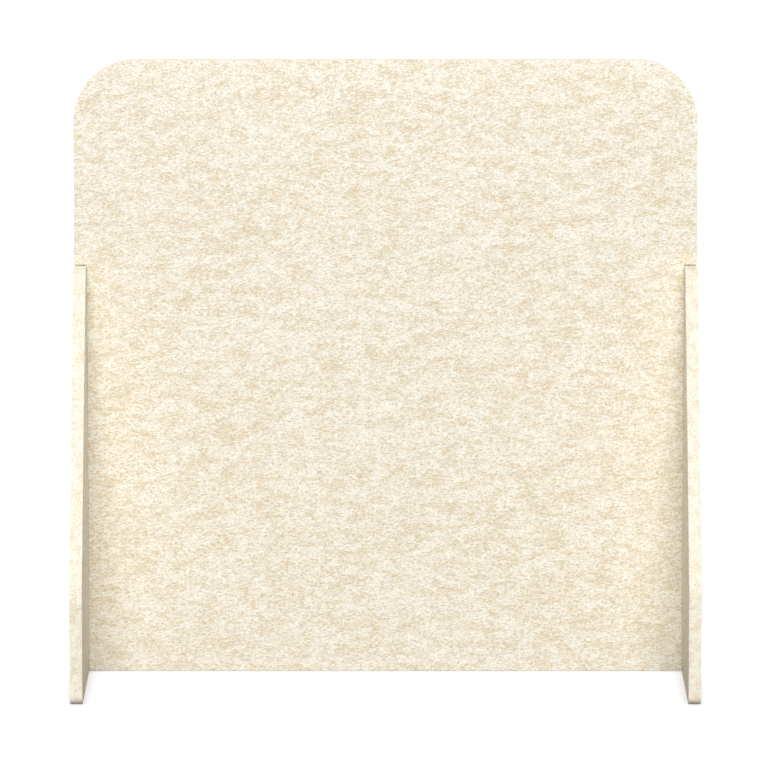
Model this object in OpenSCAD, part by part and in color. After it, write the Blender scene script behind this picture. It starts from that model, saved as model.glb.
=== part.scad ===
// Acoustic divider screen: an upright felt board whose lower corners are notched for two felt
// side panels, which stand front and back of it and are drawn tight to its edges by bolts.
// X runs across the screen, -Y is its front and Z is up. The origin is on the floor, midway
// between the side panels and in the middle of the board's thickness.

/* [Main panel] */
// Width of the screen
screen_w = 1200; // [900:10:1600]
// Height of the screen
screen_h = 1195; // [1000:5:1600]
// Thickness of the felt boards
board_t = 24; // [20:1:30]
// Radius of the two top corners
corner_r = 120; // [30:5:250]

/* [Side panels] */
// Height of each side panel
side_h = 796; // [600:1:900]
// Depth of each side panel at the floor, front to back
side_depth = 690; // [500:10:900]
// Depth of each side panel along its top, front to back
side_top_depth = 135; // [90:5:300]
// Height at which the sloped edges turn upright
kink_h = 220; // [150:10:400]
// Radius that eases each slope into the upright edge
kink_r = 100; // [20:5:150]
// Radius of the two top corners of a side panel
side_top_r = 10; // [4:1:30]
// Radius of the two corners that stand on the floor
side_foot_r = 16; // [4:1:40]
// Gap between the top of a side panel and the shoulder above it
shoulder_gap = 2; // [0:0.1:3]

/* [Bolts] */
// Number of bolts through each side panel
bolt_count = 3; // [2:1:5]
// Height of the lowest bolt
bolt_low = 120; // [60:10:240]
// Distance from the top of a side panel down to its highest bolt
bolt_drop = 116; // [60:1:240]
// Diameter of the bolt's shank
bolt_d = 6; // [5:1:8]
// Length of the bolt under its head
bolt_len = 60; // [45:5:80]
// Diameter of the bolt's flat head
head_d = 17; // [12:1:22]
// Thickness of the bolt's flat head
head_t = 2; // [1.5:0.5:4]
// Width of the hexagon socket across its flats
socket_w = 4; // [3:0.5:4]
// Depth of the hexagon socket
socket_depth = 3; // [2:0.5:5]
// Depth of the head below the face of the felt
head_recess = 0.5; // [0:0.1:2]
// Length of bolt that comes out past its barrel nut
bolt_past = 1.5; // [0.5:0.5:5]

/* [Washers] */
// Diameter of the wide washer that spreads the load on the felt
washer_d = 32; // [24:1:44]
// Thickness of the washer
washer_t = 2; // [1:0.5:4]
// Radius that rounds the washer's outer rim
washer_rim_r = 0.8; // [0.2:0.1:0.9]

/* [Barrel nuts] */
// Diameter of the barrel nut
nut_d = 14; // [12:1:18]
// Length of the barrel nut
nut_len = 18; // [14:1:19]
// Width of the screwdriver slot in the nut's end
slot_w = 1.6; // [1:0.2:2.4]
// Depth of the screwdriver slot
slot_depth = 1.8; // [1:0.2:3]
// Bevel on both ends of the barrel nut
nut_bevel = 0.8; // [0.2:0.1:1.5]

/* [Clearances] */
// Clearance on the bolt's diameter in the felt and in the washer
bolt_clearance = 0.6; // [0.2:0.1:1.5]
// Clearance on the bolt's diameter in the nut
thread_clearance = 0.2; // [0.1:0.1:0.5]
// Clearance on the washer's diameter in its recess
washer_clearance = 0.6; // [0.2:0.1:1.5]
// Clearance on the nut's diameter in its bore
nut_clearance = 0.4; // [0.2:0.1:1]
// Room left past the end of a bolt or a nut at the bottom of its bore
bore_room = 0.5; // [0.2:0.1:1]

/* [Hidden] */
$fn = 96;

felt_colour = "#f1ead6";
side_felt_colour = "#ece3cb";
steel_colour = "#c4c6c8";
nut_colour = "#d8b75f";

// How far a cutting shape runs past the face it cuts
overrun = 1;

left = -1;
right = 1;

// Places along X, all for the right-hand side
outer_x = screen_w / 2;
seam_x = outer_x - board_t;
head_seat_x = outer_x - head_recess - head_t;
washer_seat_x = head_seat_x - washer_t;
bolt_end_x = head_seat_x - bolt_len;
nut_x = bolt_end_x + bolt_past + nut_d / 2;

// Heights of the bolts
bolt_step = (side_h - bolt_drop - bolt_low) / (bolt_count - 1);
bolt_z = [for (i = [0 : bolt_count - 1]) bolt_low + i * bolt_step];

// A corner of an outline is [across, up, radius]; a radius of zero leaves it sharp
function spot(corner) = [corner[0], corner[1]];
function heading(from, to) = (spot(to) - spot(from)) / norm(spot(to) - spot(from));
function half_angle(before, corner, after) =
    acos(heading(corner, before) * heading(corner, after)) / 2;

// The two points where a corner's arc meets the straight edges beside it
function arc_ends(before, corner, after) =
    corner[2] == 0 ? [spot(corner)] :
    let (reach = corner[2] / tan(half_angle(before, corner, after)))
    [
        spot(corner) + reach * heading(corner, before),
        spot(corner) + reach * heading(corner, after)
    ];

// The centre of a corner's arc
function arc_centre(before, corner, after) =
    let (inward = heading(corner, before) + heading(corner, after))
    spot(corner) + inward / norm(inward) * corner[2] / sin(half_angle(before, corner, after));

// A convex outline whose corners are true arcs
module rounded_outline(corners) {
    last = len(corners) - 1;
    function before(i) = corners[i == 0 ? last : i - 1];
    function after(i) = corners[i == last ? 0 : i + 1];
    polygon([
        for (i = [0 : last]) each arc_ends(before(i), corners[i], after(i))
    ]);
    for (i = [0 : last])
        if (corners[i][2] > 0)
            translate(arc_centre(before(i), corners[i], after(i)))
                circle(r = corners[i][2]);
}

// The board's face: a square with two round top corners, less a notch for each side panel
module main_outline() {
    difference() {
        rounded_outline([
            [-outer_x, 0, 0],
            [outer_x, 0, 0],
            [outer_x, screen_h, corner_r],
            [-outer_x, screen_h, corner_r]
        ]);
        for (side = [left, right])
            translate([side > 0 ? seam_x : -outer_x - overrun, -overrun])
                square([board_t + overrun, side_h + shoulder_gap + overrun]);
    }
}

// The side panel's face: upright at the floor, then sloping in to a narrow top, front and back
module side_outline() {
    rounded_outline([
        [-side_depth / 2, 0, side_foot_r],
        [side_depth / 2, 0, side_foot_r],
        [side_depth / 2, kink_h, kink_r],
        [side_top_depth / 2, side_h, side_top_r],
        [-side_top_depth / 2, side_h, side_top_r],
        [-side_depth / 2, kink_h, kink_r]
    ]);
}

// Turns what is drawn for the right-hand side into the left-hand one
module to_side(side) {
    mirror([side < 0 ? 1 : 0, 0, 0]) children();
}

// Puts children on each bolt's axis, with X pointing outwards
module at_bolts(side) {
    for (z = bolt_z)
        to_side(side) translate([0, 0, z]) children();
}

// A rod along X
module rod_x(from, to, d) {
    translate([from, 0, 0]) rotate([0, 90, 0]) cylinder(h = to - from, d = d);
}

// The blind bore that takes a barrel nut, open at the back of the board
module nut_bore() {
    bore_floor = nut_len / 2 + bore_room;
    translate([nut_x, -bore_floor, 0])
        rotate([-90, 0, 0])
            cylinder(h = bore_floor + board_t / 2 + overrun, d = nut_d + nut_clearance);
}

module main_panel() {
    color(felt_colour)
    difference() {
        rotate([90, 0, 0])
            linear_extrude(height = board_t, center = true) main_outline();
        for (side = [left, right])
            at_bolts(side) {
                rod_x(bolt_end_x - bore_room, seam_x + overrun, bolt_d + bolt_clearance);
                nut_bore();
            }
    }
}

module side_panel(side) {
    color(side_felt_colour)
    difference() {
        to_side(side)
            translate([seam_x, 0, 0])
                rotate([90, 0, 90])
                    linear_extrude(height = board_t) side_outline();
        at_bolts(side) {
            rod_x(seam_x - overrun, outer_x, bolt_d + bolt_clearance);
            rod_x(washer_seat_x, outer_x + overrun, washer_d + washer_clearance);
        }
    }
}

// A flat-headed bolt with a hexagon socket
module bolt() {
    difference() {
        union() {
            rod_x(bolt_end_x, head_seat_x, bolt_d);
            rod_x(head_seat_x, head_seat_x + head_t, head_d);
        }
        translate([head_seat_x + head_t - socket_depth, 0, 0])
            rotate([0, 90, 0])
                cylinder(h = socket_depth + overrun, d = socket_w / cos(30), $fn = 6);
    }
}

module bolts(side) {
    color(steel_colour) at_bolts(side) bolt();
}

// A wide flat washer with a rounded outer rim
module washer() {
    translate([washer_seat_x, 0, 0])
        rotate([0, 90, 0])
            rotate_extrude()
                union() {
                    translate([(bolt_d + bolt_clearance) / 2, 0])
                        square([
                            (washer_d - bolt_d - bolt_clearance) / 2 - washer_rim_r,
                            washer_t
                        ]);
                    translate([washer_d / 2 - washer_rim_r, 0])
                        square([washer_rim_r, washer_t - washer_rim_r]);
                    translate([washer_d / 2 - washer_rim_r, washer_t - washer_rim_r])
                        intersection() {
                            circle(r = washer_rim_r, $fn = 48);
                            square(washer_rim_r);
                        }
                }
}

module washers(side) {
    color(steel_colour) at_bolts(side) washer();
}

// A barrel nut: a short round bar across the bolt, slotted at the back to turn its hole in line
module barrel_nut() {
    translate([nut_x, 0, 0])
        rotate([-90, 0, 0])
            difference() {
                translate([0, 0, -nut_len / 2])
                    rotate_extrude()
                        polygon([
                            [0, 0],
                            [nut_d / 2 - nut_bevel, 0],
                            [nut_d / 2, nut_bevel],
                            [nut_d / 2, nut_len - nut_bevel],
                            [nut_d / 2 - nut_bevel, nut_len],
                            [0, nut_len]
                        ]);
                rotate([0, 90, 0])
                    cylinder(h = nut_d + overrun, d = bolt_d + thread_clearance, center = true);
                translate([0, 0, nut_len / 2])
                    cube([nut_d + overrun, slot_w, 2 * slot_depth], center = true);
            }
}

module barrel_nuts(side) {
    color(nut_colour) at_bolts(side) barrel_nut();
}

main_panel();
side_panel(left);  // left_side_panel
side_panel(right);  // right_side_panel
bolts(left);  // left_bolts
bolts(right);  // right_bolts
washers(left);  // left_washers
washers(right);  // right_washers
barrel_nuts(left);  // left_barrel_nuts
barrel_nuts(right);  // right_barrel_nuts
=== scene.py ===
"""Acoustic divider screen: three marled felt boards, their hidden bolts and a white studio."""

import math

import bmesh
import bpy
from mathutils import Matrix, Vector


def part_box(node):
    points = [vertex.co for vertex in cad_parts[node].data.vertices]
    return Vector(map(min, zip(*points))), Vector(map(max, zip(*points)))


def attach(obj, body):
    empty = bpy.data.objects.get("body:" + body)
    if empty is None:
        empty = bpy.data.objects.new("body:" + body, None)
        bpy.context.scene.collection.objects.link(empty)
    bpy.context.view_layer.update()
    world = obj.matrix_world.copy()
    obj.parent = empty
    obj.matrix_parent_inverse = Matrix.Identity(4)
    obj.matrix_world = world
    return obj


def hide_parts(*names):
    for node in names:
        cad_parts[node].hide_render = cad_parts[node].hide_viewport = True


bl_info = {
    "name": "Acoustic Divider Screen",
    "version": (1, 0, 0),
    "blender": (4, 5, 0),
    "location": "View3D > Sidebar > Divider Screen",
    "description": "Felt boards, connector bolts and studio for a free-standing acoustic screen",
    "category": "Object",
}

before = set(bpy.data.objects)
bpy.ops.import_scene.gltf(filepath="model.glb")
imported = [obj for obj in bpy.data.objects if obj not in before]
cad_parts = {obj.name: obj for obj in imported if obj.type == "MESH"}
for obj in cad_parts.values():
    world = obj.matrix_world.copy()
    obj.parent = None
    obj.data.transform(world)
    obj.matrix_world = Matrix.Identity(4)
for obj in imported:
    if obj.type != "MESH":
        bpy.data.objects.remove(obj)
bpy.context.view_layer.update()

SIDES = {"left": -1, "right": 1}
# How far a cutting shape runs past the face it cuts
OVERRUN = 0.001
# How near two lengths have to be to count as the same
CLOSE = 1e-6


def from_screen(red, green, blue):
    """A colour as a screen shows it, 0 to 255, in Blender's own linear values."""
    shares = (value / 255 for value in (red, green, blue))
    return tuple(s / 12.92 if s < 0.04045 else ((s + 0.055) / 1.055) ** 2.4 for s in shares)


# Settings that a user would change


def length(name, default, description):
    return bpy.props.FloatProperty(
        name=name, description=description, default=default, min=0, precision=4,
        subtype="DISTANCE", unit="LENGTH",
    )


def share(name, default, description, most=1.0):
    return bpy.props.FloatProperty(
        name=name, description=description, default=default, min=0, max=most, subtype="FACTOR",
    )


def colour(name, default, description):
    return bpy.props.FloatVectorProperty(
        name=name, description=description, default=default, size=3, min=0, max=1,
        subtype="COLOR",
    )


def angle(name, degrees, description):
    return bpy.props.FloatProperty(
        name=name, description=description, default=math.radians(degrees),
        subtype="ANGLE", unit="ROTATION",
    )


class FeltBoards(bpy.types.PropertyGroup):
    """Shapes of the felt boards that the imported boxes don't give."""

    arris: length("Arris", 0.0012, "Radius that softens the felt's cut arrises")
    corner_radius: length("Corner radius", 0.12, "Radius of the screen's two top corners")
    kink_height: length("Kink height", 0.22, "Height at which a side panel's slopes turn upright")
    kink_radius: length("Kink radius", 0.1, "Radius that eases each slope into the upright edge")
    top_depth: length("Top depth", 0.135, "Depth of a side panel along its top")
    top_radius: length("Top radius", 0.01, "Radius of a side panel's top corners")
    foot_radius: length("Foot radius", 0.016, "Radius of a side panel's corners on the floor")
    shoulder_gap: length("Shoulder gap", 0.002, "Gap between a side panel and the shoulder above")


class FeltColours(bpy.types.PropertyGroup):
    """Fibres that make up the marled felt."""

    cream: colour("Cream", from_screen(251, 246, 231), "Most of the fibres")
    tan: colour("Tan", from_screen(231, 217, 187), "Soft patches where warm fibres gather")
    white: colour("White", from_screen(255, 253, 242), "Bleached fibres")
    brown: colour("Brown", from_screen(219, 196, 156), "Warm dark fibres")
    grey: colour("Grey", from_screen(212, 203, 182), "Cool dark fibres")
    marl: length("Marl", 0.0155, "Distance between the soft patches")
    fibre: length("Fibre", 0.003, "Width of the wisps of fibre")
    grit: length("Grit", 0.0019, "Width of the finest fibres")
    patches: share("Patches", 5.6, "Strength of the soft patches", 20.0)
    wisps: share("Wisps", 7.0, "Strength of the wisps of fibre", 20.0)
    grain: share("Grain", 4.8, "Strength of the finest fibres", 20.0)
    hair: length("Hair", 0.00012, "Width of the single fibres that only a close look shows")
    hairs: share("Hairs", 0.7, "Strength of the single fibres", 20.0)
    edge: share("Edge", 0.6, "How much of the marl shows on the smoother cut edges")
    nap: length("Nap", 0.00035, "Height of the fibres that stand up from the felt")


class Hardware(bpy.types.PropertyGroup):
    """Bolts, washers and barrel nuts."""

    count: bpy.props.IntProperty(
        name="Bolts a side", description="Number of bolts through each side panel",
        default=3, min=2, max=5,
    )
    shank: length("Shank", 0.006, "Diameter of a bolt's shank")
    pitch: length("Pitch", 0.001, "Distance from one turn of the thread to the next")
    thread_depth: length("Thread depth", 0.0006, "Depth of the thread")
    thread_length: length("Thread length", 0.026, "Length of the thread from the bolt's end")
    head_thickness: length("Head thickness", 0.002, "Thickness of a bolt's flat head")
    head_edge: length("Head edge", 0.0007, "Radius that rounds the rim of the head")
    socket: length("Socket", 0.004, "Width of the hexagon socket across its flats")
    socket_depth: length("Socket depth", 0.003, "Depth of the hexagon socket")
    hole_room: length("Hole room", 0.0006, "Clearance on the bolt's diameter in felt and washer")
    washer_edge: length("Washer edge", 0.0008, "Radius that rounds the washer's rim")
    washer_room: length("Washer room", 0.0006, "Clearance on the washer's diameter in the felt")
    nut_hole_room: length("Nut hole room", 0.0002, "Clearance on the bolt's diameter in the nut")
    nut_room: length("Nut room", 0.0004, "Clearance on the nut's diameter in its bore")
    nut_bevel: length("Nut bevel", 0.0008, "Bevel on both ends of a barrel nut")
    slot: length("Slot", 0.0016, "Width of the slot in a nut's end")
    slot_depth: length("Slot depth", 0.0018, "Depth of the slot in a nut's end")
    bore_room: length("Bore room", 0.0005, "Room past a bolt or nut at the bottom of its bore")
    zinc: colour("Zinc", (0.66, 0.67, 0.69), "Zinc plating of the bolts and washers")
    brass: colour("Brass", (0.73, 0.53, 0.23), "Turned brass of the barrel nuts")
    marks: length("Marks", 0.0003, "Distance between the fine rings that turning leaves")


class Studio(bpy.types.PropertyGroup):
    """Floor, light and camera."""

    floor: share("Floor", 0.35, "How much of its light the floor shows to the camera")
    floor_lift: share("Floor lift", 0.75, "White that the camera sees on top of the floor's own")
    floor_bounce: share("Floor bounce", 0.25, "How much light the floor gives back to the screen")
    # Width and darkness of the floor's painted contact shadow: ambient occlusion takes it out of
    # the white that the camera sees on the floor
    painted_shadow_width: length("Contact", 0.022, "Width of the dark line round what stands on the floor")
    painted_shadow_depth: share("Contact shade", 0.5, "How dark that line is")
    sky: share("Sky", 0.35, "Strength of the even white light from all round", 2.0)
    key: share("Key", 0.89, "Light that the lamp in front gives a face square to it", 2.0)
    key_height: angle("Key height", 33, "How high the lamp in front stands")
    key_width: angle("Key width", 30, "How wide the lamp in front looks, which softens shadows")
    back: share("Back", 0.15, "Light that the lamp behind gives a face square to it", 2.0)
    side: share("Side", 0.72, "Light that each lamp beside gives a face square to it", 2.0)
    side_turn: angle("Side turn", 120, "How far round from the front the lamps beside stand")
    low_height: angle("Low height", 5, "How high the lamps behind and beside stand")
    low_width: angle("Low width", 36, "How wide the lamps behind and beside look")
    lens: bpy.props.FloatProperty(
        name="Lens", description="Focal length of the camera", default=352.632, min=1,
        subtype="DISTANCE_CAMERA", unit="CAMERA",
    )
    pitch: angle("Pitch", 9.1524, "How far the camera looks down")
    distance: length("Distance", 14.4618, "How far in front of the screen the camera stands")
    height: length("Height", 2.8884, "Height of the camera above the floor")
    aside: length("Aside", 0.000955, "How far left of the screen's middle the camera stands")


class DividerScreen(bpy.types.PropertyGroup):
    """All the settings of the screen."""

    boards: bpy.props.PointerProperty(type=FeltBoards)
    felt: bpy.props.PointerProperty(type=FeltColours)
    hardware: bpy.props.PointerProperty(type=Hardware)
    studio: bpy.props.PointerProperty(type=Studio)


def settings():
    return bpy.context.scene.divider_screen


# Node helpers

# Values between which nearly all of a noise lies
NOISE_RANGE = (0.3, 0.7)


def add(tree, kind, links=None, **values):
    """A node with its properties and unlinked inputs set, and sockets linked to its inputs."""
    node = tree.nodes.new("ShaderNode" + kind)
    for name, value in values.items():
        setattr(node, name, value)
    for socket, source in (links or {}).items():
        target = node.inputs[socket]
        if isinstance(source, bpy.types.NodeSocket):
            tree.links.new(source, target)
        else:
            target.default_value = source
    return node


def maths(tree, operation, *values):
    return add(tree, "Math", dict(enumerate(values)), operation=operation).outputs[0]


def remap(tree, value, low, high, to_low=0.0, to_high=1.0):
    links = {
        "Value": value, "From Min": low, "From Max": high, "To Min": to_low, "To Max": to_high,
    }
    return add(tree, "MapRange", links).outputs["Result"]


def blend(tree, factor, first, second, mode="MIX"):
    node = tree.nodes.new("ShaderNodeMix")
    node.data_type = "RGBA"
    node.blend_type = mode
    for socket, source in zip((0, 6, 7), (factor, first, second)):
        if isinstance(source, bpy.types.NodeSocket):
            tree.links.new(source, node.inputs[socket])
        else:
            node.inputs[socket].default_value = source
    return node.outputs[2]


def noise(tree, vector, scale, detail=2.0, roughness=0.5, distortion=0.0):
    links = {
        "Vector": vector, "Scale": scale, "Detail": detail,
        "Roughness": roughness, "Distortion": distortion,
    }
    return add(tree, "TexNoise", links).outputs["Fac"]


def placed(tree, vector, turn=(0, 0, 0), scale=(1, 1, 1), move=(0, 0, 0), kind="POINT"):
    links = {
        "Vector": vector, "Location": move, "Scale": scale,
        "Rotation": [math.radians(a) for a in turn],
    }
    return add(tree, "Mapping", links, vector_type=kind).outputs["Vector"]


def new_group(name, inputs, outputs):
    """An empty node group whose sockets are (name, kind, default) and (name, kind), with what
    its nodes take from and give to those sockets."""
    group = bpy.data.node_groups.new(name, "ShaderNodeTree")
    for socket, kind, default in inputs:
        made = group.interface.new_socket(socket, in_out="INPUT", socket_type="NodeSocket" + kind)
        if default is not None:
            made.default_value = default
    for socket, kind in outputs:
        group.interface.new_socket(socket, in_out="OUTPUT", socket_type="NodeSocket" + kind)
    given = group.nodes.new("NodeGroupInput").outputs
    out = group.nodes.new("NodeGroupOutput").inputs
    return group, given, out


def add_group(tree, name, make, links=None):
    """A node with a shared group, which is made the first time that it is needed."""
    group = bpy.data.node_groups.get(name) or make(name)
    return add(tree, "Group", links, node_tree=group)


def new_material(name):
    material = bpy.data.materials.new(name)
    material.use_nodes = True
    tree = material.node_tree
    return material, tree, tree.nodes["Principled BSDF"]


# Felt

# Layers of wisps: their turn in degrees, their scale along the felt and their shift along it
WISP_LAYERS = ((5, 0.378, 0.0), (-12, 0.432, 3.1), (32, 0.54, 7.7), (-32, 0.54, 5.3))
# Turns of the layers of light and dark single fibres, in degrees
HAIR_TURNS = {"Light": (4, -38, 71), "Dark": (-13, 29, -64)}
# How much longer than wide the noise is drawn to make single fibres
HAIR_STRETCH = 9
# How near the noise has to be to its middle to be part of a single fibre
HAIR_BAND = 0.035
# Width of a single fibre, as a share of the size of its noise
HAIR_SHARE = 0.08
# How far the single fibres pull the marl along and up with them, in metres
HAIR_PULL = (0.0012, 0, 0.0005)
# How high the single fibres lie, as a share of the wisps' height
HAIR_HEIGHT = 0.3
# Scales along the felt, which lengthen the soft patches and the finest fibres
PATCH_SCALE = 0.42
GRAIN_SCALE = 0.8
# Shifts that keep the patterns of the finest fibres and of their tint apart from the others
GRAIN_SHIFT = (2.2, 6.1, 0.3)
TINT_SHIFT = (4.4, 1.7, 9.2)
# Fineness of the tint of the dark fibres, as a share of the finest fibres'
TINT_SHARE = 0.4
# Values of the tint's noise between which the dark fibres turn from grey to brown
TINT_RANGE = (0.4, 0.6)
# How tan the felt is halfway between its light and dark patches
PATCH_MIDDLE = 0.38
# Scale along, across and up a cut edge, which draws the noise out into lines
LAYER_SCALE = (30, 700, 30)
# How light the darkest line on a cut edge is, and how high the lines stand
LAYER_SHADE = 0.955
LAYER_HEIGHT = 0.6


def fibre_group(name):
    """Wisps of fibre that lie across each other, finer than the marl. X runs along the felt."""
    group, given, out = new_group(
        name, [("Vector", "Vector", None), ("Width", "Float", 0.003)], [("Fibres", "Float")])
    fineness = maths(group, "DIVIDE", 1.0, given["Width"])
    layers = []
    for turn, scale, shift in WISP_LAYERS:
        lie = placed(group, given["Vector"], (turn / 2, turn, 0), (scale, 1, 1), (shift, 0, 0))
        layers.append(
            noise(group, lie, fineness, detail=1.0, roughness=0.6, distortion=0.25))
    high = maths(group, "MAXIMUM", layers[0], layers[1])
    low = maths(group, "MINIMUM", layers[1], layers[2])
    total = maths(group, "ADD", maths(group, "ADD", high, low), layers[0])
    total = maths(group, "ADD", total, layers[3])
    group.links.new(maths(group, "MULTIPLY", total, 1 / len(layers)), out["Fibres"])
    return group


def hair_group(name):
    """Single fibres, light and dark, that cross each other over a board. X runs along it."""
    group, given, out = new_group(
        name,
        [("Vector", "Vector", None), ("Width", "Float", 0.0001)],
        [("Light", "Float"), ("Dark", "Float")],
    )
    fineness = maths(group, "DIVIDE", HAIR_SHARE, given["Width"])
    for side, turns in HAIR_TURNS.items():
        strands = []
        for turn in turns:
            lie = placed(
                group, given["Vector"], (0, turn, 0), (HAIR_STRETCH, 1, 1), (turn / 10, 0, 0),
                "TEXTURE",
            )
            waves = noise(group, lie, fineness, detail=1.0, distortion=0.4)
            off = maths(group, "ABSOLUTE", maths(group, "SUBTRACT", waves, 0.5))
            strands.append(remap(group, off, 0.0, HAIR_BAND, 1.0, 0.0))
        most = maths(group, "MAXIMUM", maths(group, "MAXIMUM", *strands[:2]), strands[2])
        group.links.new(most, out[side])
    return group


def marl_group(name):
    """The felt's marled colour and the height of its nap, from a place on the board."""
    group, given, out = new_group(
        name,
        [("Vector", "Vector", None)]
        + [(socket, "Float", 1.0) for socket in (
            "Marl", "Fibre", "Grit", "Hair", "Patches", "Wisps", "Grain", "Hairs")]
        + [(socket, "Color", None) for socket in ("Cream", "Tan", "White", "Brown", "Grey")],
        [("Color", "Color"), ("Height", "Float")],
    )

    def strength(layer, socket, middle=0.0):
        part = maths(group, "MULTIPLY", maths(group, "SUBTRACT", layer, 0.5), given[socket])
        return maths(group, "ADD", part, middle)

    strands = add_group(
        group, "Felt hairs", hair_group, {"Vector": given["Vector"], "Width": given["Hair"]})
    light, dark = strands.outputs["Light"], strands.outputs["Dark"]
    hairs = maths(group, "SUBTRACT", light, dark)
    pull = add(group, "CombineXYZ", {"X": hairs, "Z": hairs}).outputs[0]
    drawn = add(
        group, "VectorMath", {0: pull, 1: HAIR_PULL, 2: given["Vector"]},
        operation="MULTIPLY_ADD",
    ).outputs[0]

    lie = placed(group, drawn, scale=(PATCH_SCALE, 1, 1))
    coarse = maths(group, "DIVIDE", 1.0, given["Marl"])
    patches = noise(group, lie, coarse, detail=3.0, roughness=0.6, distortion=0.6)
    fine = maths(group, "DIVIDE", 1.0, given["Grit"])
    short = placed(group, drawn, scale=(GRAIN_SCALE, 1, 1), move=GRAIN_SHIFT)
    grain = noise(group, short, fine, detail=1.0, roughness=0.6)
    other = placed(group, lie, move=TINT_SHIFT)
    broad = maths(group, "MULTIPLY", fine, TINT_SHARE)
    tint = noise(group, other, broad, detail=1.0, roughness=0.6)
    wisps = add_group(
        group, "Felt fibres", fibre_group, {"Vector": drawn, "Width": given["Fibre"]})
    fibre = wisps.outputs["Fibres"]

    ground = blend(
        group, strength(patches, "Patches", PATCH_MIDDLE), given["Cream"], given["Tan"])
    tone = maths(group, "ADD", strength(fibre, "Wisps"), strength(grain, "Grain"))
    tone = maths(group, "MULTIPLY_ADD", hairs, given["Hairs"], tone)
    dull = blend(group, remap(group, tint, *TINT_RANGE), given["Grey"], given["Brown"])
    shade = blend(group, remap(group, tone, 0.0, 1.0), ground, given["White"])
    shade = blend(group, remap(group, tone, 0.0, -1.0), shade, dull)
    group.links.new(shade, out["Color"])
    raised = maths(group, "MAXIMUM", light, dark)
    group.links.new(maths(group, "MULTIPLY_ADD", raised, HAIR_HEIGHT, fibre), out["Height"])
    return group


def felt_material(name, across, layered):
    """Felt whose fibres lie along the board. across is the axis through the board's thickness,
    and layered felt is a cut edge, where the carded layers show as faint lines."""
    felt = settings().felt
    material, tree, shader = new_material(name)
    place = add(tree, "TexCoord").outputs["Object"]
    lie = placed(tree, place, (0, 0, 90 if across == "X" else 0))
    marl = add_group(tree, "Marled felt", marl_group, {"Vector": lie})
    for socket in marl.inputs[1:]:
        value = getattr(felt, socket.name.lower())
        if socket.type == "RGBA":
            value = (*value, 1)
        elif layered and socket.name in ("Patches", "Wisps", "Grain", "Hairs"):
            value *= felt.edge
        socket.default_value = value
    shade, height = marl.outputs["Color"], marl.outputs["Height"]
    if layered:
        layers = noise(tree, placed(tree, lie, scale=LAYER_SCALE), 1.0, roughness=0.6)
        lines = remap(tree, layers, *NOISE_RANGE, LAYER_SHADE, 1.0)
        grey = add(tree, "CombineColor", {"Red": lines, "Green": lines, "Blue": lines})
        shade = blend(tree, 1.0, shade, grey.outputs["Color"], "MULTIPLY")
        height = maths(tree, "ADD", height, maths(tree, "MULTIPLY", layers, LAYER_HEIGHT))
    bump = add(tree, "Bump", {"Height": height, "Distance": felt.nap, "Strength": 0.6})
    tree.links.new(shade, shader.inputs["Base Color"])
    tree.links.new(bump.outputs["Normal"], shader.inputs["Normal"])
    shader.inputs["Roughness"].default_value = 0.95
    shader.inputs["Specular IOR Level"].default_value = 0.15
    return material


def felt_materials(across):
    """The face and cut-edge materials of a board, made once for each way that a board stands."""
    way = "main" if across == "Y" else "side"
    return [
        bpy.data.materials.get(name) or felt_material(name, across, layered)
        for name, layered in (
            (f"Marled felt, {way} face", False), (f"Marled felt, {way} cut edge", True))
    ]


# Metal

# Material, colour's setting and roughness of the metal in each slot
METALS = {
    "plated_steel": ("Satin zinc", "zinc", 0.34),
    "nut_brass": ("Turned brass", "brass", 0.3),
}
# Fineness of the wear on the metal
WEAR_SCALE = 260.0
# How dark the metal is where it is worn least, as a share of its colour
WEAR_SHADE = 0.86
# How much rougher or smoother than its middle the metal gets
WEAR_SPREAD = 0.25
# How much the turning marks count in the shine next to the wear, and the range of both together
RING_SHARE = 0.5
SHINE_RANGE = (0.4, 1.1)


def turned_group(name):
    """Fine rings that turning leaves, from a vertex's distance round and along its axis."""
    group, given, out = new_group(
        name, [("Spacing", "Float", 0.0003)], [("Rings", "Float"), ("Wear", "Float")])
    reach = add(group, "Attribute", attribute_name="turning").outputs["Fac"]
    rings = add(group, "TexNoise", {
        "W": maths(group, "DIVIDE", reach, given["Spacing"]), "Scale": 1.0, "Detail": 2.0,
    }, noise_dimensions="1D")
    group.links.new(rings.outputs["Fac"], out["Rings"])
    place = add(group, "TexCoord").outputs["Object"]
    wear = noise(group, place, WEAR_SCALE, detail=3.0, roughness=0.6)
    group.links.new(wear, out["Wear"])
    return group


def metal_material(name, tint, rough):
    """Satin metal with turning marks and a faintly uneven shine."""
    material, tree, shader = new_material(name)
    marks = add_group(
        tree, "Turning marks", turned_group, {"Spacing": settings().hardware.marks})
    rings, wear = marks.outputs["Rings"], marks.outputs["Wear"]
    uneven = maths(tree, "ADD", maths(tree, "MULTIPLY", rings, RING_SHARE), wear)
    darker = tuple(WEAR_SHADE * value for value in tint)
    tree.links.new(
        blend(tree, remap(tree, wear, *NOISE_RANGE), (*darker, 1), (*tint, 1)),
        shader.inputs["Base Color"])
    smooth, coarse = rough * (1 - WEAR_SPREAD), rough * (1 + WEAR_SPREAD)
    tree.links.new(
        remap(tree, uneven, *SHINE_RANGE, smooth, coarse), shader.inputs["Roughness"])
    bump = add(tree, "Bump", {"Height": rings, "Distance": 0.00003, "Strength": 0.35})
    tree.links.new(bump.outputs["Normal"], shader.inputs["Normal"])
    shader.inputs["Metallic"].default_value = 1
    return material


def metal(slot):
    """The metal of a slot, made once."""
    name, tint, rough = METALS[slot]
    return bpy.data.materials.get(name) or metal_material(
        name, getattr(settings().hardware, tint), rough)


# Meshes

# Steps across the arc that softens an arris
ARRIS_STEPS = 4


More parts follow.
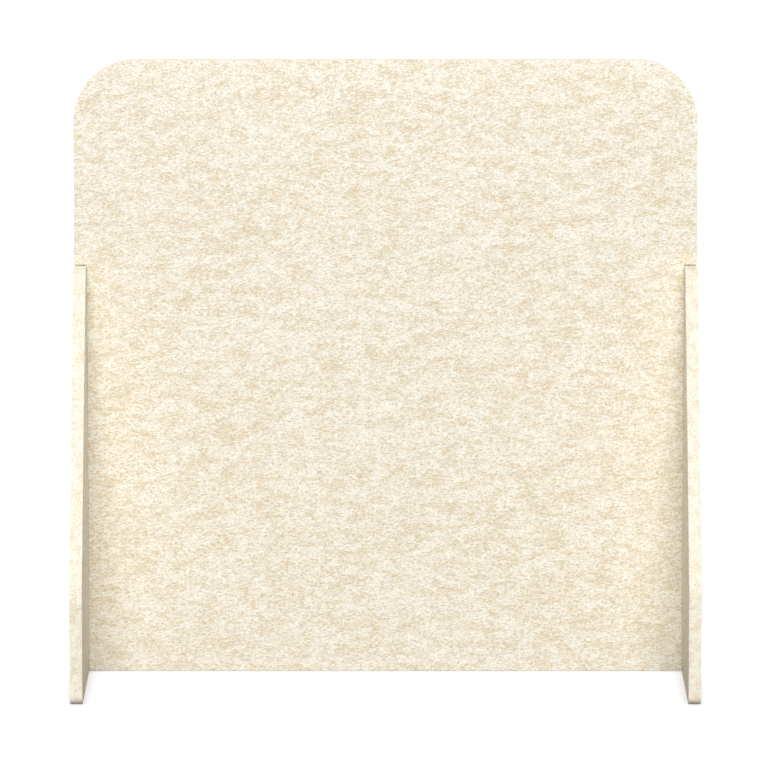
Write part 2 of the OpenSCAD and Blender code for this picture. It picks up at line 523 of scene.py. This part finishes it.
def outline(bm, corners, steps=24):
    """A face in the XZ plane through corners of (across, up, radius), rounded by their radii."""
    verts = [bm.verts.new((x, 0, z)) for x, z, _ in corners]
    bm.faces.new(verts)
    for vert, (_, _, radius) in zip(verts, corners):
        if radius:
            one, other = (edge.other_vert(vert).co - vert.co for edge in vert.link_edges)
            reach = radius / math.tan(one.angle(other) / 2)
            bmesh.ops.bevel(
                bm, geom=[vert], offset=reach, offset_type="OFFSET", affect="VERTICES",
                segments=steps, profile=0.5, material=-1, clamp_overlap=False,
            )


def thicken(bm, low, high):
    """Makes the face in the XZ plane a board from low to high along Y."""
    for vert in bm.verts:
        vert.co.y = low
    made = bmesh.ops.extrude_face_region(bm, geom=bm.faces[:], use_keep_orig=True)["geom"]
    moved = [item for item in made if isinstance(item, bmesh.types.BMVert)]
    bmesh.ops.translate(bm, verts=moved, vec=(0, high - low, 0))
    bmesh.ops.recalc_face_normals(bm, faces=bm.faces[:])


def soften(bm, radius, sharper_than=40):
    """Rounds every outward arris."""
    limit = math.radians(sharper_than)
    arrises = [e for e in bm.edges if e.is_convex and e.calc_face_angle(0) > limit]
    bmesh.ops.bevel(
        bm, geom=arrises, offset=radius, offset_type="OFFSET", affect="EDGES",
        segments=ARRIS_STEPS, profile=0.5, material=-1, clamp_overlap=True, miter_outer="SHARP",
    )


def turned(bm, profile, steps=60, closed=False):
    """Spins a profile of (along, radius) points round the X axis."""
    verts = [bm.verts.new((along, radius, 0)) for along, radius in profile]
    edges = [bm.edges.new(pair) for pair in zip(verts, verts[1:])]
    if closed:
        edges.append(bm.edges.new((verts[-1], verts[0])))
    bmesh.ops.spin(
        bm, geom=verts + edges, cent=(0, 0, 0), axis=(1, 0, 0), angle=math.tau, steps=steps,
        use_merge=True, use_duplicate=False,
    )
    bmesh.ops.remove_doubles(bm, verts=bm.verts[:], dist=CLOSE)
    bmesh.ops.recalc_face_normals(bm, faces=bm.faces[:])


def arc(centre, radius, start, end, steps=5):
    """Points on an arc, as (along, radius) pairs, with its angles in degrees."""
    angles = (math.radians(start + (end - start) * i / steps) for i in range(steps + 1))
    return [(centre[0] + radius * math.cos(a), centre[1] + radius * math.sin(a)) for a in angles]


def copy_along(bm, heights, sign):
    """Copies what is drawn round the X axis to each height, mirrored for the left-hand side."""
    drawn = bm.verts[:] + bm.edges[:] + bm.faces[:]
    for height in heights[1:]:
        made = bmesh.ops.duplicate(bm, geom=drawn)["geom"]
        moved = [item for item in made if isinstance(item, bmesh.types.BMVert)]
        bmesh.ops.translate(bm, verts=moved, vec=(0, 0, height))
    moved = [item for item in drawn if isinstance(item, bmesh.types.BMVert)]
    bmesh.ops.translate(bm, verts=moved, vec=(0, 0, heights[0]))
    bmesh.ops.scale(bm, vec=(sign, 1, 1), verts=bm.verts[:])
    bmesh.ops.recalc_face_normals(bm, faces=bm.faces[:])


def to_object(name, bm):
    mesh = bpy.data.meshes.new(name)
    bm.to_mesh(mesh)
    bm.free()
    piece = bpy.data.objects.new(name, mesh)
    bpy.context.scene.collection.objects.link(piece)
    return piece


def cut(piece, cutters):
    """Takes the cutters out of a piece, for good."""
    for cutter in cutters:
        bore = piece.modifiers.new("Bore", "BOOLEAN")
        bore.operation = "DIFFERENCE"
        bore.solver = "EXACT"
        bore.object = cutter
    bpy.context.view_layer.update()
    ready = piece.evaluated_get(bpy.context.evaluated_depsgraph_get())
    mesh = bpy.data.meshes.new_from_object(ready)
    piece.modifiers.clear()
    old, piece.data = piece.data, mesh
    mesh.name = piece.name
    bpy.data.meshes.remove(old)
    for cutter in cutters:
        bpy.data.objects.remove(cutter)


def smooth_arcs(piece, limit=12):
    """Shades the large arcs smooth and leaves flat faces flat."""
    mesh = piece.data
    mesh.polygons.foreach_set("use_smooth", [True] * len(mesh.polygons))
    mesh.set_sharp_from_angle(angle=math.radians(limit))


def settle(piece, slot, *nodes):
    """Rides a finished piece on the part's one body, in place of its CAD node."""
    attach(piece, "root")
    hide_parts(*nodes)


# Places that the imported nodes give


def extent(node):
    low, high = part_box(node)
    return Vector(low), Vector(high)


def bolt_places(side):
    """Heights of a side's bolts, from the box round its washers."""
    low, high = extent(f"{side}_washers")
    radius = (high.y - low.y) / 2
    count = settings().hardware.count
    lowest, highest = low.z + radius, high.z - radius
    return [lowest + (highest - lowest) * i / (count - 1) for i in range(count)]


def bore_cutter(name, place, turn, depth, radius, ease):
    """A round cutter that enters along -X at its origin, with a mouth eased by a small radius."""
    bm = bmesh.new()
    mouth = arc((-ease, radius + ease), ease, -90, 0, steps=4)
    turned(bm, [(-depth, 0), (-depth, radius), *mouth, (OVERRUN, radius + ease), (OVERRUN, 0)])
    bmesh.ops.transform(bm, matrix=Matrix.Translation(place) @ turn, verts=bm.verts[:])
    bmesh.ops.recalc_face_normals(bm, faces=bm.faces[:])
    return to_object(name, bm)


# Pieces

# Radii that ease a wide and a narrow bore in the felt, as shares of its arris
WIDE_EASE = 0.6
NARROW_EASE = 0.4
# How squarely a face looks along the board's thickness to be part of its large faces
FACE_LIMIT = 0.75
# Rings of a bolt's mesh to each turn of its thread
THREAD_RINGS = 8
# Share of the thread's height that is flat, at its crest and at its root
THREAD_FLAT = 1 / 7
# Share of its depth that the thread has where it starts
THREAD_START = 0.1
# Width of the bevel round a bolt's socket, as a share of the socket's
SOCKET_BEVEL = 0.08
# Steps round a bolt
BOLT_STEPS = 48


def mark_cut_edges(piece, across):
    """Gives each face that doesn't look along the board's thickness the cut edge's material."""
    axis = "XYZ".index(across)
    for face in piece.data.polygons:
        face.material_index = 0 if abs(face.normal[axis]) > FACE_LIMIT else 1


def finish_board(piece, across, slot, node):
    for material in felt_materials(across):
        piece.data.materials.append(material)
    mark_cut_edges(piece, across)
    smooth_arcs(piece)
    settle(piece, slot, node)


def make_main_panel():
    boards, hardware = settings().boards, settings().hardware
    low, high = extent("main_panel")
    side_low, side_high = extent("left_side_panel")
    seam = -side_high.x
    shoulder = side_high.z + boards.shoulder_gap
    bm = bmesh.new()
    outline(bm, [
        (-seam, 0, 0), (seam, 0, 0), (seam, shoulder, 0), (high.x, shoulder, 0),
        (high.x, high.z, boards.corner_radius), (low.x, high.z, boards.corner_radius),
        (low.x, shoulder, 0), (-seam, shoulder, 0),
    ])
    thicken(bm, low.y, high.y)
    soften(bm, boards.arris)
    piece = to_object("main_panel_felt", bm)
    cutters = []
    for side, sign in SIDES.items():
        nut_low, nut_high = extent(f"{side}_barrel_nuts")
        bolt_low, bolt_high = extent(f"{side}_bolts")
        nut_x = (nut_low.x + nut_high.x) / 2
        nut_radius = (nut_high.x - nut_low.x + hardware.nut_room) / 2
        bolt_end = min(abs(bolt_low.x), abs(bolt_high.x)) - hardware.bore_room
        for height in bolt_places(side):
            cutters.append(bore_cutter(
                "nut bore", (nut_x, high.y, height), Matrix.Rotation(math.pi / 2, 4, "Z"),
                high.y - nut_low.y + hardware.bore_room, nut_radius, boards.arris * WIDE_EASE,
            ))
            cutters.append(bore_cutter(
                "bolt bore", (sign * seam, 0, height), Matrix.Scale(sign, 4, (1, 0, 0)),
                seam - bolt_end, (hardware.shank + hardware.hole_room) / 2,
                boards.arris * NARROW_EASE,
            ))
    cut(piece, cutters)
    finish_board(piece, "Y", "panel_felt", "main_panel")


def make_side_panel(side, sign):
    boards, hardware = settings().boards, settings().hardware
    low, high = extent(f"{side}_side_panel")
    washer_low, washer_high = extent(f"{side}_washers")
    half, top = high.y, boards.top_depth / 2
    bm = bmesh.new()
    outline(bm, [
        (-half, 0, boards.foot_radius), (half, 0, boards.foot_radius),
        (half, boards.kink_height, boards.kink_radius), (top, high.z, boards.top_radius),
        (-top, high.z, boards.top_radius), (-half, boards.kink_height, boards.kink_radius),
    ])
    thicken(bm, 0, high.x - low.x)
    soften(bm, boards.arris)
    turn = Matrix.Rotation(math.pi / 2, 4, "Z")
    bmesh.ops.transform(bm, matrix=Matrix.Translation((high.x, 0, 0)) @ turn, verts=bm.verts[:])
    bmesh.ops.recalc_face_normals(bm, faces=bm.faces[:])
    piece = to_object(f"{side}_side_panel_felt", bm)
    outer = high.x if sign > 0 else low.x
    seat = washer_low.x if sign > 0 else washer_high.x
    facing = Matrix.Scale(sign, 4, (1, 0, 0))
    cutters = []
    for height in bolt_places(side):
        place = (outer, 0, height)
        cutters.append(bore_cutter(
            "washer recess", place, facing, abs(outer - seat),
            (washer_high.y - washer_low.y + hardware.washer_room) / 2, boards.arris * WIDE_EASE,
        ))
        cutters.append(bore_cutter(
            "bolt bore", (seat, 0, height), facing, high.x - low.x + OVERRUN,
            (hardware.shank + hardware.hole_room) / 2, boards.arris * NARROW_EASE,
        ))
    cut(piece, cutters)
    finish_board(piece, "X", "side_felt", f"{side}_side_panel")


def mark_turning(piece, centre, across):
    """Stores how far each vertex lies round and along its own axis, for the turning marks."""
    heights = bolt_places("left")
    marks = piece.data.attributes.new("turning", "FLOAT", "POINT")
    for vert, mark in zip(piece.data.vertices, marks.data):
        along, aside = (vert.co.x - centre, vert.co.y)[::1 if across == "X" else -1]
        up = min((vert.co.z - height for height in heights), key=abs)
        mark.value = math.hypot(aside, up) + abs(along)


def hexagon(bm, radius, apothem):
    """Moves the rings that stand at a radius from the X axis onto a hexagon."""
    sixth = math.radians(60)
    for vert in bm.verts:
        if abs(math.hypot(vert.co.y, vert.co.z) - radius) < CLOSE:
            turn = math.atan2(vert.co.z, vert.co.y)
            reach = apothem / math.cos((turn + sixth / 2) % sixth - sixth / 2)
            vert.co.y, vert.co.z = reach * math.cos(turn), reach * math.sin(turn)


def thread(bm, start, end, crest, depth, pitch):
    """Winds a thread round the X axis into the rings between start and end."""
    for vert in bm.verts:
        radius = math.hypot(vert.co.y, vert.co.z)
        inside = min(vert.co.x - start, end - vert.co.x)
        if inside > -CLOSE and abs(radius - crest) < CLOSE:
            turn = math.atan2(vert.co.z, vert.co.y) / math.tau
            wave = abs((vert.co.x / pitch - turn) % 1 * 2 - 1)
            slope = (wave - THREAD_FLAT) / (1 - 2 * THREAD_FLAT)
            fade = min(inside / pitch + THREAD_START, 1)
            sunk = depth * fade * min(max(slope, 0), 1)
            vert.co.y *= (radius - sunk) / radius
            vert.co.z *= (radius - sunk) / radius


def finish_metal(piece, centre, across, slot, node):
    mark_turning(piece, centre, across)
    piece.data.materials.append(metal(slot))
    smooth_arcs(piece, 24)
    settle(piece, slot, node)


def make_bolts(side, sign):
    hardware = settings().hardware
    low, high = extent(f"{side}_bolts")
    end, top = sorted((abs(low.x), abs(high.x)))
    seat = top - hardware.head_thickness
    shank, head = hardware.shank / 2, (high.y - low.y) / 2
    edge, depth = hardware.head_edge, hardware.thread_depth
    start, stop = end + depth, end + hardware.thread_length
    rings = round((stop - start) / hardware.pitch * THREAD_RINGS)
    socket = hardware.socket / math.sqrt(3)
    lead_in = hardware.socket * SOCKET_BEVEL
    bm = bmesh.new()
    turned(bm, [
        (end, 0), (end, shank - depth),
        *((start + (stop - start) * i / rings, shank) for i in range(rings + 1)),
        *arc((seat - edge, shank + edge), edge, -90, 0),
        *arc((seat + edge / 2, head - edge / 2), edge / 2, 180, 90),
        *arc((top - edge, head - edge), edge, 90, 0),
        (top, socket + lead_in), (top - lead_in, socket),
        (top - hardware.socket_depth, socket), (top - hardware.socket_depth - lead_in, 0),
    ], BOLT_STEPS)
    hexagon(bm, socket, hardware.socket / 2)
    thread(bm, start, stop, shank, depth, hardware.pitch)
    copy_along(bm, bolt_places(side), sign)
    piece = to_object(f"{side}_connector_bolts", bm)
    finish_metal(piece, sign * seat, "X", "plated_steel", f"{side}_bolts")


def make_washers(side, sign):
    hardware = settings().hardware
    low, high = extent(f"{side}_washers")
    seat, top = sorted((abs(low.x), abs(high.x)))
    bore = (hardware.shank + hardware.hole_room) / 2
    rim, edge = (high.y - low.y) / 2, hardware.washer_edge
    ease = edge / 4
    bm = bmesh.new()
    turned(bm, [
        (seat + ease, bore), (seat, bore + ease),
        *arc((seat + ease, rim - ease), ease, 180, 90),
        *arc((top - edge, rim - edge), edge, 90, 0),
        (top, bore + ease), (top - ease, bore),
    ], closed=True)
    copy_along(bm, bolt_places(side), sign)
    piece = to_object(f"{side}_wide_washers", bm)
    finish_metal(piece, sign * seat, "X", "plated_steel", f"{side}_washers")


def make_barrel_nuts(side, sign):
    hardware = settings().hardware
    low, high = extent(f"{side}_barrel_nuts")
    centre, radius = abs(low.x + high.x) / 2, (high.x - low.x) / 2
    half, bevel = high.y, hardware.nut_bevel
    ease = bevel / 4
    bm = bmesh.new()
    turned(bm, [
        (-half, 0), (-half, radius - bevel), (ease - half, radius - bevel + ease),
        (bevel - half, radius), (half - bevel, radius), (half - ease, radius - bevel + ease),
        (half, radius - bevel), (half, 0),
    ])
    matrix = Matrix.Translation((centre, 0, 0)) @ Matrix.Rotation(math.pi / 2, 4, "Z")
    bmesh.ops.transform(bm, matrix=matrix, verts=bm.verts[:])
    heights = bolt_places(side)
    copy_along(bm, heights, sign)
    piece = to_object(f"{side}_slotted_nuts", bm)
    cutters = []
    for height in heights:
        cutters.append(bore_cutter(
            "nut thread", (sign * (centre + radius), 0, height), Matrix.Scale(sign, 4, (1, 0, 0)),
            2 * radius + OVERRUN, (hardware.shank + hardware.nut_hole_room) / 2, bevel,
        ))
        bm = bmesh.new()
        size = (2 * radius + OVERRUN, 2 * hardware.slot_depth, hardware.slot)
        matrix = Matrix.Translation((sign * centre, half, height)) @ Matrix.Diagonal((*size, 1))
        bmesh.ops.create_cube(bm, size=1, matrix=matrix)
        cutters.append(to_object("nut slot", bm))
    cut(piece, cutters)
    finish_metal(piece, sign * centre, "Y", "nut_brass", f"{side}_barrel_nuts")


# Operators


class DIVIDER_OT_stage(bpy.types.Operator):
    """Set the white floor, the soft lamps and the camera"""

    bl_idname = "divider_screen.stage"
    bl_label = "Studio"

    def execute(self, context):
        make_camera()
        make_light()
        make_floor()
        return {"FINISHED"}


class DIVIDER_OT_main_panel(bpy.types.Operator):
    """Cut the upright felt board with its round top corners and the bores for its bolts"""

    bl_idname = "divider_screen.main_panel"
    bl_label = "Main Panel"

    def execute(self, context):
        make_main_panel()
        return {"FINISHED"}


class DIVIDER_OT_side_panels(bpy.types.Operator):
    """Cut the two tapered felt boards that stand at right angles to the main panel"""

    bl_idname = "divider_screen.side_panels"
    bl_label = "Side Panels"

    def execute(self, context):
        for side, sign in SIDES.items():
            make_side_panel(side, sign)
        return {"FINISHED"}


class DIVIDER_OT_bolts(bpy.types.Operator):
    """Turn and thread the flat-headed bolts that draw the side panels to the main panel"""

    bl_idname = "divider_screen.bolts"
    bl_label = "Bolts"

    def execute(self, context):
        for side, sign in SIDES.items():
            make_bolts(side, sign)
        return {"FINISHED"}


class DIVIDER_OT_washers(bpy.types.Operator):
    """Press the wide washers that spread the pull of the bolts on the soft felt"""

    bl_idname = "divider_screen.washers"
    bl_label = "Washers"

    def execute(self, context):
        for side, sign in SIDES.items():
            make_washers(side, sign)
        return {"FINISHED"}


class DIVIDER_OT_barrel_nuts(bpy.types.Operator):
    """Turn the slotted barrel nuts that the bolts screw into"""

    bl_idname = "divider_screen.barrel_nuts"
    bl_label = "Barrel Nuts"

    def execute(self, context):
        for side, sign in SIDES.items():
            make_barrel_nuts(side, sign)
        return {"FINISHED"}


# Studio

# Width of the camera's sensor in millimetres, and how far the camera sees
SENSOR = 36
SIGHT = 200
# Radius of the floor, and how far below the boards it lies, so that no two faces share a plane
FLOOR_RADIUS = 60
FLOOR_DROP = 0.0001


def make_camera():
    studio = settings().studio
    data = bpy.data.cameras.new("Camera")
    data.lens = studio.lens
    data.sensor_width = SENSOR
    data.clip_end = SIGHT
    camera = bpy.data.objects.new("Camera", data)
    camera.location = (-studio.aside, -studio.distance, studio.height)
    camera.rotation_euler = (math.pi / 2 - studio.pitch, 0, 0)
    bpy.context.scene.collection.objects.link(camera)
    bpy.context.scene.camera = camera


def make_sun(name, strength, turn, height, width):
    """A broad lamp far away, turned round the object from its front. Its strength is the share
    of a face's own colour that it shows."""
    data = bpy.data.lights.new(name, "SUN")
    data.energy = strength * math.pi
    data.angle = width
    lamp = bpy.data.objects.new(name, data)
    lamp.rotation_euler = (math.pi / 2 - height, 0, turn)
    bpy.context.scene.collection.objects.link(lamp)


def seen(tree):
    """1 for the rays in which the camera sees a surface, straight or in a shiny one, else 0."""
    path = add(tree, "LightPath").outputs
    rays = maths(tree, "MAXIMUM", path["Is Camera Ray"], path["Is Glossy Ray"])
    return maths(tree, "MAXIMUM", rays, path["Is Transmission Ray"])


def make_light():
    studio = settings().studio
    make_sun("Front lamp", studio.key, 0, studio.key_height, studio.key_width)
    for name, strength, turn in (
            ("Back lamp", studio.back, math.pi),
            ("Left lamp", studio.side, -studio.side_turn),
            ("Right lamp", studio.side, studio.side_turn)):
        make_sun(name, strength, turn, studio.low_height, studio.low_width)

    bpy.context.scene.view_settings.view_transform = "Standard"
    world = bpy.data.worlds.new("Studio")
    world.use_nodes = True
    bpy.context.scene.world = world
    tree = world.node_tree
    tree.links.new(
        remap(tree, seen(tree), 0.0, 1.0, studio.sky, 1.0),
        tree.nodes["Background"].inputs["Strength"])
    tree.nodes["Background"].inputs["Color"].default_value = (1, 1, 1, 1)


def make_floor():
    studio = settings().studio
    bm = bmesh.new()
    bmesh.ops.create_circle(bm, cap_ends=True, segments=96, radius=FLOOR_RADIUS)
    floor = to_object("floor", bm)
    floor.data.transform(Matrix.Translation((0, 0, -FLOOR_DROP)))
    material, tree, shader = new_material("White floor")
    shader.inputs["Roughness"].default_value = 1
    shader.inputs["Specular IOR Level"].default_value = 0
    shader.inputs["Emission Color"].default_value = (1, 1, 1, 1)
    rays = seen(tree)
    tree.links.new(
        remap(tree, rays, 0.0, 1.0, studio.floor_bounce, studio.floor),
        shader.inputs["Base Color"])
    # Painted contact shadow: near what stands on the floor, ambient occlusion dims the white lift
    # that the camera sees
    near = add(tree, "AmbientOcclusion", {"Distance": studio.painted_shadow_width}, samples=8)
    low = studio.floor_lift * (1 - studio.painted_shadow_depth)
    lift = remap(tree, near.outputs["AO"], 0.0, 1.0, low, studio.floor_lift)
    tree.links.new(maths(tree, "MULTIPLY", rays, lift), shader.inputs["Emission Strength"])
    floor.data.materials.append(material)


class DIVIDER_PT_screen(bpy.types.Panel):
    """Lists the screen's pieces and settings"""

    bl_idname = "DIVIDER_PT_screen"
    bl_label = "Acoustic Divider Screen"
    bl_space_type = "VIEW_3D"
    bl_region_type = "UI"
    bl_category = "Divider Screen"

    def draw(self, context):
        for operator in OPERATORS:
            self.layout.operator(operator.bl_idname)
        for name in ("boards", "felt", "hardware", "studio"):
            group = getattr(context.scene.divider_screen, name)
            box = self.layout.box()
            box.label(text=name.capitalize())
            for prop in group.__annotations__:
                box.prop(group, prop)


GROUPS = (FeltBoards, FeltColours, Hardware, Studio, DividerScreen)
OPERATORS = (
    DIVIDER_OT_stage, DIVIDER_OT_main_panel, DIVIDER_OT_side_panels, DIVIDER_OT_bolts,
    DIVIDER_OT_washers, DIVIDER_OT_barrel_nuts,
)
CLASSES = (*GROUPS, *OPERATORS, DIVIDER_PT_screen)


def register():
    for cls in CLASSES:
        bpy.utils.register_class(cls)
    bpy.types.Scene.divider_screen = bpy.props.PointerProperty(type=DividerScreen)


def unregister():
    del bpy.types.Scene.divider_screen
    for cls in reversed(CLASSES):
        bpy.utils.unregister_class(cls)


def main():
    register()
    for operator in OPERATORS:
        group, name = operator.bl_idname.split(".")
        getattr(getattr(bpy.ops, group), name)()


if __name__ == "__main__":
    main()
